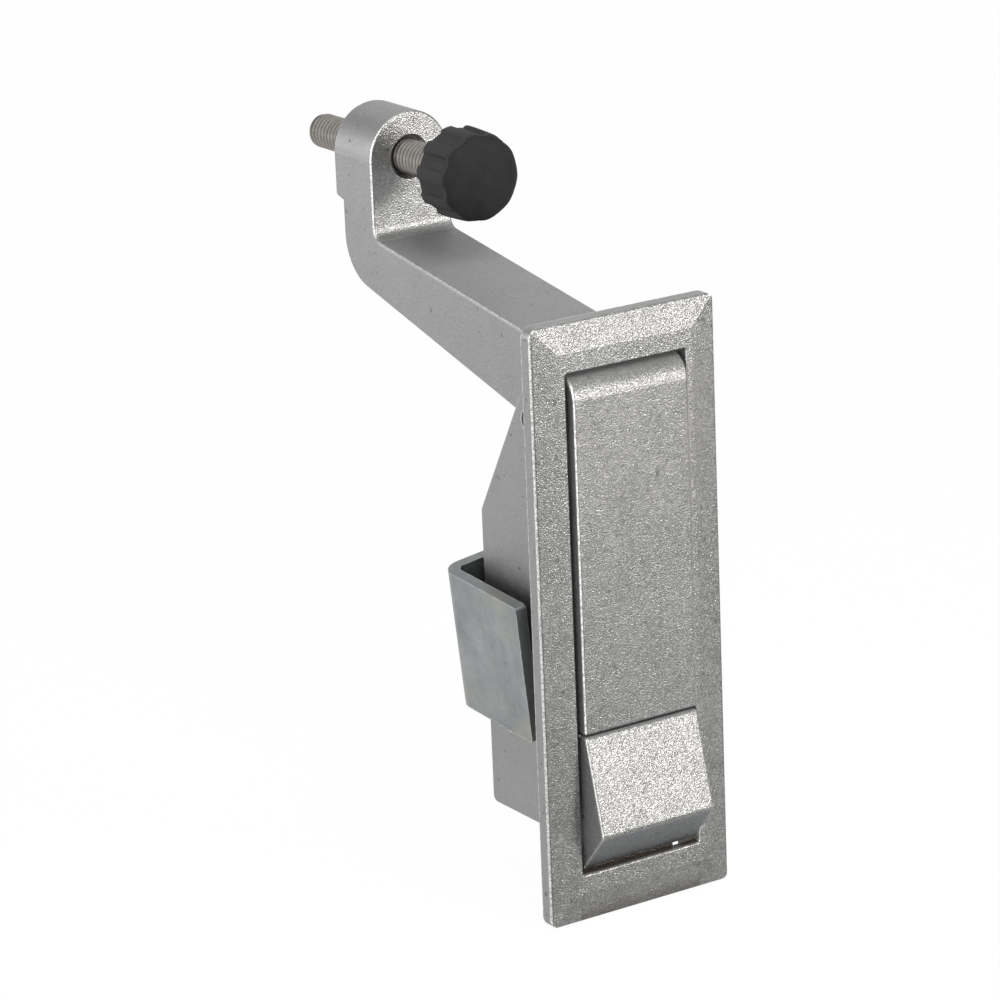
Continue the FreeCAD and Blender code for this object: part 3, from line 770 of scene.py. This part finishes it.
@dataclass
class BumperKnob:
    """The black knob: a smooth domed cap, and scoops for the fingers round its skirt."""

    front: float = 34.9 * MM
    back: float = 44.7 * MM
    height: float = 64.45 * MM
    scoops: int = 10
    scoop_depth: float = 0.72 * MM
    scoop_start: float = 36.8 * MM
    scoop_run: float = 0.9 * MM
    scoop_half: float = 0.3
    scoop_edge: float = 0.075
    scoop_curve: float = 2.2
    back_share: float = 0.62
    back_run: float = 2.5 * MM
    cap_flat: float = 0.08 * MM
    flat_run: float = 1.5 * MM
    flat_behind: float = 0.4
    core: float = 5.0 * MM
    turn: float = 119.5
    steps_each: int = 28

    def outline(self) -> list[Vector]:
        """Half section of the knob, from its front pole to its back."""
        rows = (
            (self.front, 0.0),
            (self.front + 0.07 * MM, 2.4 * MM),
            (self.front + 0.36 * MM, 4.6 * MM),
            (self.front + 0.8 * MM, 5.95 * MM),
            (self.front + 1.4 * MM, 6.85 * MM),
            (self.front + 2.0 * MM, 7.25 * MM),
            (self.front + 2.5 * MM, 7.38 * MM),
            (self.front + 2.8 * MM, 7.42 * MM),
            (self.front + 3.1 * MM, 7.44 * MM),
            (self.front + 3.4 * MM, 7.46 * MM),
            (self.front + 4.0 * MM, 7.5 * MM),
            (self.front + 5.5 * MM, 7.56 * MM),
            (self.front + 7.2 * MM, 7.63 * MM),
            (self.back - 0.8 * MM, 7.68 * MM),
            (self.back - 0.3 * MM, 7.62 * MM),
            (self.back - 0.02 * MM, 7.2 * MM),
            (self.back, 5.2 * MM),
            (self.back - 0.3 * MM, 4.6 * MM),
            (self.back - 0.3 * MM, 2.0 * MM),
            (self.back - 0.3 * MM, 0.0),
        )
        return [Vector((radius, place, 0)) for place, radius in rows]

    def build(self, material: bpy.types.Material) -> bpy.types.Object:
        """Makes the knob.

        Args:
            material: The knob's finish.

        Returns:
            The piece, which stands for the plain knob.
        """
        mesh = bmesh.new()
        bmesh.ops.spin(
            mesh,
            geom=chain(mesh, self.outline()),
            cent=(0, 0, 0),
            axis=(0, 1, 0),
            angle=math.tau,
            steps=self.scoops * self.steps_each,
            use_merge=True,
        )
        bmesh.ops.remove_doubles(mesh, verts=mesh.verts, dist=1e-6)
        self.carve(mesh)
        bmesh.ops.translate(mesh, verts=mesh.verts, vec=(0, 0, self.height))
        piece = finish_piece(mesh, "bumper_knob_moulding", material)
        smooth = piece.modifiers.new("smooth", "SUBSURF")
        smooth.levels = smooth.render_levels = 1
        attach(piece, "knob")
        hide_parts("bumper_knob")
        return piece

    def carve(self, mesh: bmesh.types.BMesh) -> None:
        """Presses the scoops into the skirt.

        Args:
            mesh: The knob's bmesh, about the Y axis.
        """
        for vert in mesh.verts:
            radius = math.hypot(vert.co.x, vert.co.z)
            if radius < self.core:
                continue
            angle = math.degrees(math.atan2(vert.co.z, vert.co.x)) - self.turn
            off = abs((angle * self.scoops / 360.0 + 0.5) % 1.0 - 0.5)
            across = min(1.0, max(0.0, (self.scoop_half - off) / self.scoop_edge))
            run = (vert.co.y - self.scoop_start) / self.scoop_run
            along = min(1.0, max(0.0, run - self.scoop_curve * off))
            fade = min(1.0, max(0.0, (self.back - vert.co.y) / self.back_run))
            scoop = self.scoop_depth * across * along * (self.back_share + (1.0 - self.back_share) * fade)
            rim = min(1.0, (radius - self.core) / self.flat_run)
            flat = self.cap_flat * (1.0 - (2.0 * off) ** 2) * rim
            new = radius - scoop - flat * (1.0 - (1.0 - self.flat_behind) * along)
            vert.co.x *= new / radius
            vert.co.z *= new / radius


@dataclass(frozen=True)
class TwistingSpring:
    """A torsion spring, rebuilt as one merged copy of its imported solid."""

    node: str
    body: str
    first: float
    last: float

    def build(self, nodes: dict[str, bpy.types.Object], material: bpy.types.Material) -> bpy.types.Object:
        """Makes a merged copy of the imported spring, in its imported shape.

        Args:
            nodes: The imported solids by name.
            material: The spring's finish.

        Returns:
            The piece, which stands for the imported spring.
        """
        mesh = bmesh.new()
        mesh.from_mesh(nodes[self.node].data)
        bmesh.ops.remove_doubles(mesh, verts=mesh.verts, dist=1e-6)
        piece = finish_piece(mesh, f"{self.node}_wire", material)
        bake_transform(piece)
        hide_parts(self.node)
        return piece


@dataclass
class PackedPieces:
    """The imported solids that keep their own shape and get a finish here."""

    nodes: dict[str, bpy.types.Object]
    finishes: Finishes

    def dress(self) -> list[bpy.types.Object]:
        """Puts each finish on its solids.

        Returns:
            The dressed objects.
        """
        looks = {
            self.finishes.housing: ("housing", "trigger"),
            self.finishes.lever: ("lever",),
            self.finishes.pin: ("lever_pivot_pin", "trigger_pin"),
            self.finishes.spring: ("lever_spring", "trigger_spring", "clamp_lock_washer"),
            self.finishes.sheet: ("clamp_bracket", "clamp_screw", "clamp_washer"),
            self.finishes.stud: ("adjusting_stud",),
            self.finishes.knob: ("bumper_knob",),
        }
        dressed = []
        for look, names in looks.items():
            for name in names:
                piece = self.nodes[name]
                for slot in piece.material_slots:
                    slot.material = look
                if not piece.material_slots:
                    piece.data.materials.append(look)
                dressed.append(piece)
        return dressed


@dataclass(frozen=True)
class Lamp:
    """A soft round lamp.

    Attributes:
        name: The lamp's name.
        place: Where it hangs.
        aim: What it points at.
        size: Width of its face.
        power: Its power in watts.
        tint: Its colour.
    """

    name: str
    place: Point
    aim: Point
    size: float
    power: float
    tint: Point = (1.0, 1.0, 1.0)

    def hang(self) -> None:
        """Adds the lamp to the scene."""
        data = bpy.data.lights.new(self.name, "AREA")
        data.shape = "DISK"
        data.size = self.size
        data.energy = self.power
        data.color = self.tint
        lamp = bpy.data.objects.new(self.name, data)
        away = Vector(self.aim) - Vector(self.place)
        lamp.matrix_world = Matrix.Translation(self.place) @ away.to_track_quat("-Z", "Y").to_matrix().to_4x4()
        bpy.context.scene.collection.objects.link(lamp)


@dataclass(frozen=True)
class Studio:
    """Camera, lamps, floor and background."""

    eye: Point = (-0.37478777, -0.54645675, 0.22515284)
    turn: tuple[float, float, float, float] = (0.76759558, 0.57216776, -0.15558492, -0.24334012)
    lens: float = 157.408
    floor_height: float = -0.0503
    floor_size: float = 6.0
    floor_tone: Colour = (0.9, 0.9, 0.9, 1.0)
    floor_glow: float = 0.97
    ambient: float = 0.6
    warm: Point = (1.0, 0.975, 0.95)
    cool: Point = (0.97, 0.985, 1.0)

    def build(self) -> None:
        """Makes everything round the object."""
        scene = bpy.context.scene
        scene.view_settings.view_transform = "Standard"
        self.camera(scene)
        self.world(scene)
        for lamp in (
            Lamp("overhead", (-0.05, -0.2, 0.32), (0, 0.02, 0.04), 0.22, 1.15),
            Lamp("front_right", (0.47, -0.83, 0.16), (0, 0, 0), 0.34, 5.8, self.warm),
            Lamp("left_back", (-0.45, 0.6, 0.06), (0, 0.06, 0.05), 0.5, 1.1, self.cool),
            Lamp("left_front", (-0.75, -0.3, 0.15), (0, 0, 0), 0.3, 2.2, self.cool),
        ):
            lamp.hang()
        self.floor()

    def camera(self, scene: bpy.types.Scene) -> None:
        """Places the camera.

        Args:
            scene: The scene that looks through it.
        """
        data = bpy.data.cameras.new("camera")
        data.lens = self.lens
        data.sensor_width = 36.0
        data.sensor_fit = "AUTO"
        data.clip_start = 0.01
        camera = bpy.data.objects.new("camera", data)
        camera.matrix_world = Matrix.Translation(self.eye) @ Quaternion(self.turn).to_matrix().to_4x4()
        scene.collection.objects.link(camera)
        scene.camera = camera

    def background_share(self, sheet: NodeSheet) -> bpy.types.NodeSocket:
        """Socket that is 1 for camera, glossy and transmission rays.

        Args:
            sheet: The sheet that it is built on.

        Returns:
            The socket.
        """
        rays = sheet.add("ShaderNodeLightPath").outputs
        seen = sheet.math("MAXIMUM", rays["Is Camera Ray"], rays["Is Glossy Ray"])
        return sheet.math("MAXIMUM", seen, rays["Is Transmission Ray"])

    def world(self, scene: bpy.types.Scene) -> None:
        """Plain pale surroundings.

        Args:
            scene: The scene that they go round.
        """
        world = bpy.data.worlds.new("surroundings")
        world.use_nodes = True
        world.node_tree.nodes.clear()
        sheet = NodeSheet(world.node_tree)
        strength = sheet.ramp(self.background_share(sheet), 0.0, 1.0, self.ambient, 1.0)
        glow = sheet.add("ShaderNodeBackground", {"Color": (1, 1, 1, 1), "Strength": strength})
        result = sheet.add("ShaderNodeOutputWorld")
        sheet.tree.links.new(glow.outputs[0], result.inputs["Surface"])
        scene.world = world

    def floor(self) -> None:
        """Adds the pale floor that the plate's foot stands on."""
        mesh = bmesh.new()
        bmesh.ops.create_grid(mesh, x_segments=1, y_segments=1, size=self.floor_size / 2)
        bmesh.ops.translate(mesh, verts=mesh.verts, vec=(0, 0, self.floor_height))
        material = bpy.data.materials.new("floor_white")
        material.use_nodes = True
        material.node_tree.nodes.clear()
        sheet = NodeSheet(material.node_tree)
        matt = sheet.add("ShaderNodeBsdfDiffuse", {"Color": self.floor_tone})
        glow = sheet.add("ShaderNodeEmission", {"Color": (1, 1, 1, 1), "Strength": 1.0})
        share = sheet.math("MULTIPLY", self.background_share(sheet), self.floor_glow)
        both = sheet.add("ShaderNodeMixShader", {0: share, 1: matt.outputs[0], 2: glow.outputs[0]})
        result = sheet.add("ShaderNodeOutputMaterial")
        sheet.tree.links.new(both.outputs[0], result.inputs["Surface"])
        finish_piece(mesh, "floor", material)


def main() -> None:
    """Builds the latch's looks round its solids."""
    logging.basicConfig(level=logging.INFO, format="%(name)s: %(message)s")
    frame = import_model()
    Studio().build()
    finishes = Finishes.make()
    for piece in PackedPieces(frame["nodes"], finishes).dress():
        log.info("dressed %s", piece.name)
    springs = (
        TwistingSpring("lever_spring", "lever", 8.72 * MM, 9.18 * MM),
        TwistingSpring("trigger_spring", "trigger", -1.38 * MM, 1.62 * MM),
    )
    made = [ThreadedStud().build(finishes.stud), BumperKnob().build(finishes.knob)]
    made += [spring.build(frame["nodes"], finishes.spring) for spring in springs]
    for piece in made:
        log.info("built %s with %d faces", piece.name, len(piece.data.polygons))


if __name__ == "__main__":
    main()
